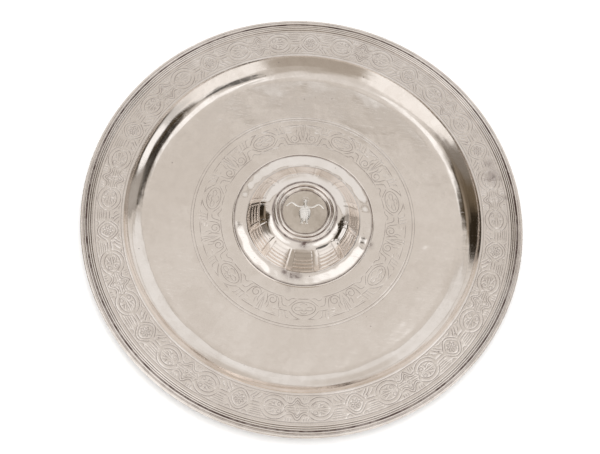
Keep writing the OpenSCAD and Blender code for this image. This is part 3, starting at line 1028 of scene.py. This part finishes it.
def makeFloor():
    # one pale square, a hair below the dish
    h = stage["size"] / 2
    mesh = bpy.data.meshes.new("stageFloor")
    corners = [(x, y, stage["floorZ"]) for x, y in ((-h, -h), (h, -h), (h, h), (-h, h))]
    mesh.from_pydata(corners, [], [(0, 1, 2, 3)])
    floor = bpy.data.objects.new("stageFloor", mesh)
    bpy.context.scene.collection.objects.link(floor)
    paper = bpy.data.materials.new("stagePaper")
    paper.use_nodes = True
    shader = paper.node_tree.nodes["Principled BSDF"]
    shader.inputs["Base Color"].default_value = (*stage["shade"], 1)
    shader.inputs["Roughness"].default_value = 0.9
    shader.inputs["Specular IOR Level"].default_value = 0.1
    mesh.materials.append(paper)


def makeLamp():
    # broad lamp overhead that lights the floor; the silver mirrors the studio cards instead
    data = bpy.data.lights.new("stageLamp", "AREA")
    data.shape, data.size, data.energy = "SQUARE", stage["lampSize"], stage["lampPower"]
    lamp = bpy.data.objects.new("stageLamp", data)
    lamp.location = (0, 0, stage["lampHeight"])
    lamp.visible_glossy = False
    lamp.visible_camera = False
    bpy.context.scene.collection.objects.link(lamp)


# studio cards, drawn in this order: azimuth from +X, half width, middle elevation, half height,
# squareness, softness, grey level and warmth
cards = [
    # broad lamps overhead, right and left
    (30, 30, 74.5, 8, 4, 0.2, 1.1, 0.0),
    (164, 38, 75, 7.5, 4, 0.15, 1.1, 0.0),
    # dark edge of the room above the sweep
    (95, 130, 0, 68, 3, 0.02, 0.06, 0.6),
    # brown wall on the left, dark flag before it and the flag's core
    (172, 34, 24, 30, 4, 0.12, 0.28, 0.4),
    (184, 15, 18, 30, 4, 0.25, 0.13, 0.55),
    (163, 12, 13, 27, 4, 0.25, 0.025, 0.6),
    (198, 12, 25, 30, 4, 0.4, 0.22, 0.25),
    # window side at the front left, dim room behind the camera, front right
    (229, 26, 26, 45, 4, 0.15, 0.97, 0.05),
    (277, 24, 30, 34, 4, 0.2, 0.42, 0.25),
    (288, 14, 60, 12, 3, 0.3, 0.5, 0.2),
    (327, 24, 22, 32, 5, 0.12, 0.92, 0.06),
    # lamp stand, side wall on the right and the gap in the dark beside it
    (336, 13, 62, 9, 3, 0.2, 0.12, 0.1),
    (354, 12, 18, 13, 3, 0.4, 0.62, 0.05),
    (6, 11, 25, 14, 3, 0.2, 1.05, 0.0),
    # dark shelf over it, dark foot under it
    (20, 17, 53, 8, 3, 0.3, 0.025, 0.45),
    (4, 17, -1, 11, 3, 0.3, 0.08, 0.45),
    (25, 7, 20, 24, 3, 0.5, 0.4, 0.15),
    # white sweep behind, its bright fold and streaks
    (94, 62, 10, 61, 3.5, 0.012, 0.66, 0.12),
    (94, 59, -12, 46, 3, 0.08, 0.76, 0.05),
    (92, 57.5, 36, 28, 2.5, 0.02, 0.4, 0.25),
    (92, 56, 36, 26.5, 2.5, 0.03, 0.79, 0.03),
    (82, 7, 8, 24, 3, 0.6, 0.58, 0.15),
    (107, 9, 28, 15, 3, 0.6, 0.64, 0.12),
]


def makeStudioCard():
    # mask = superellipse of azimuth and elevation distance; Colour laid over Under by the mask
    tree, given, out = newGroup(
        "studioCard",
        [("Way", "Vector", None), ("Under", "Color", None), ("Colour", "Color", None),
         ("Azimuth", "Float", 0.0), ("Half Width", "Float", 20.0), ("Elevation", "Float", 0.0),
         ("Half Height", "Float", 20.0), ("Square", "Float", 2.0), ("Soft", "Float", 0.1)],
        [("Colour", "Color")])
    way = add(tree, "SeparateXYZ", Vector=given["Way"]).outputs
    turn = calc(tree, "RADIANS", given["Azimuth"])
    across = calc(tree, "SQRT", calc(tree, "ADD", calc(tree, "MULTIPLY", way[0], way[0]),
                                     calc(tree, "MULTIPLY", way[1], way[1])))
    dot = calc(tree, "ADD", calc(tree, "MULTIPLY", way[0], calc(tree, "COSINE", turn)),
               calc(tree, "MULTIPLY", way[1], calc(tree, "SINE", turn)))
    side = calc(tree, "DEGREES", calc(tree, "ARCCOSINE",
                                      calc(tree, "DIVIDE", dot, calc(tree, "MAXIMUM", across, 1e-5))))
    rise = calc(tree, "DEGREES", calc(tree, "ARCSINE", way[2]))
    high = calc(tree, "ABSOLUTE", calc(tree, "SUBTRACT", rise, given["Elevation"]))
    parts = [calc(tree, "POWER", calc(tree, "DIVIDE", a, b), given["Square"])
             for a, b in ((side, given["Half Width"]), (high, given["Half Height"]))]
    far = calc(tree, "POWER", calc(tree, "ADD", *parts), calc(tree, "DIVIDE", 1.0, given["Square"]))
    mask = fade(tree, far, calc(tree, "ADD", 1.0, given["Soft"]), calc(tree, "SUBTRACT", 1.0, given["Soft"]))
    tree.links.new(blend(tree, mask, given["Under"], given["Colour"]), out["Colour"])
    return tree


def tint(level, warmth):
    # grey at warmth 0; warmth takes 0.43 of its share from green and 0.9 from blue
    return (level, level * (1 - 0.43 * warmth), level * (1 - 0.9 * warmth))


sky = {"start": 70.0, "end": 84.0, "low": (0.655, 0.12), "high": (0.74, 0.08), "drift": 0.11,
       "driftScale": 9.0}


def makeWorld():
    # the room that the silver mirrors: sky, then the cards over one another; the camera sees white
    world = bpy.data.worlds.new("studio")
    world.use_nodes = True
    bpy.context.scene.world = world
    tree = world.node_tree
    tree.nodes.clear()
    card = makeStudioCard()
    way = add(tree, "TexCoord").outputs["Generated"]
    # uneven edges: every direction is moved a little by noise
    drift = add(tree, "VectorMath", {"operation": "SUBTRACT"},
                _0=add(tree, "TexNoise", Vector=way, Scale=sky["driftScale"], Detail=4.0).outputs[1],
                _1=(0.5, 0.5, 0.5))
    way = add(tree, "VectorMath", {"operation": "MULTIPLY_ADD"}, _0=drift.outputs[0],
              _1=(sky["drift"],) * 3, _2=way).outputs[0]
    way = add(tree, "VectorMath", {"operation": "NORMALIZE"}, _0=way).outputs[0]
    rise = calc(tree, "DEGREES", calc(tree, "ARCSINE", add(tree, "SeparateXYZ", Vector=way).outputs[2]))
    # pale ceiling, brighter straight above
    climb = fade(tree, rise, sky["start"], sky["end"])
    colour = blend(tree, climb, tint(*sky["low"]), tint(*sky["high"]))
    for azimuth, wide, elevation, tall, square, soft, level, warmth in cards:
        colour = place(tree, card, Way=way, Under=colour, Colour=tint(level, warmth), Azimuth=azimuth,
                       Elevation=elevation, Square=square, Soft=soft,
                       **{"Half Width": wide, "Half Height": tall})["Colour"]
    seen = add(tree, "LightPath").outputs["Is Camera Ray"]
    colour = blend(tree, seen, colour, (1.0, 1.0, 1.0))
    light = add(tree, "Background", Color=colour)
    tree.links.new(light.outputs[0], tree.nodes.new("ShaderNodeOutputWorld").inputs[0])


makeFloor()
makeLamp()
makeWorld()
bpy.context.scene.view_settings.view_transform = "Standard"
print("floor, lamp and studio made")
